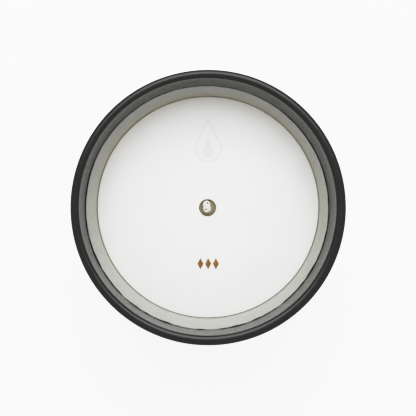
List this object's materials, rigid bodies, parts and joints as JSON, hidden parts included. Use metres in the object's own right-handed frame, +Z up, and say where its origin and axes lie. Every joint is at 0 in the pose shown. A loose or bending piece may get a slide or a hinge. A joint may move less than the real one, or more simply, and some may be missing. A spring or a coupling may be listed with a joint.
{
  "type": "container candle",
  "caption": "Round container candle in a straight black glass vessel, with poured wax, a braided wick on a sustainer, and a lift-off card dust cover.",
  "frame": {"origin": "centre of the base's underside, on the plane that the vessel stands on", "axes": "+Z up the vessel's axis towards its mouth, +Y from the wick towards the blind mark on the dust cover, +X to the right of that"},
  "size_m": [0.08, 0.08, 0.09],
  "materials": {
    "black_glass": "satin",
    "wax": "satin",
    "cotton": "matt",
    "tinplate": "bright",
    "foam": "matt",
    "white_card": "matt",
    "copper_foil": "satin",
    "label_paper": "matt"
  },
  "bodies": {
    "candle": {"vessel": "black_glass", "wax": "wax", "wick": "cotton", "wick_sustainer": "tinplate", "wick_sticker": "foam", "base_label": "label_paper"},
    "cover": {"dust_cover": "white_card", "foil_mark": "copper_foil"}
  },
  "joints": [
    {"name": "cover_lift", "type": "slide", "parent": "candle", "child": "cover", "axis": [0, 0, 1], "range_m": [0, 0.045]}
  ]
}
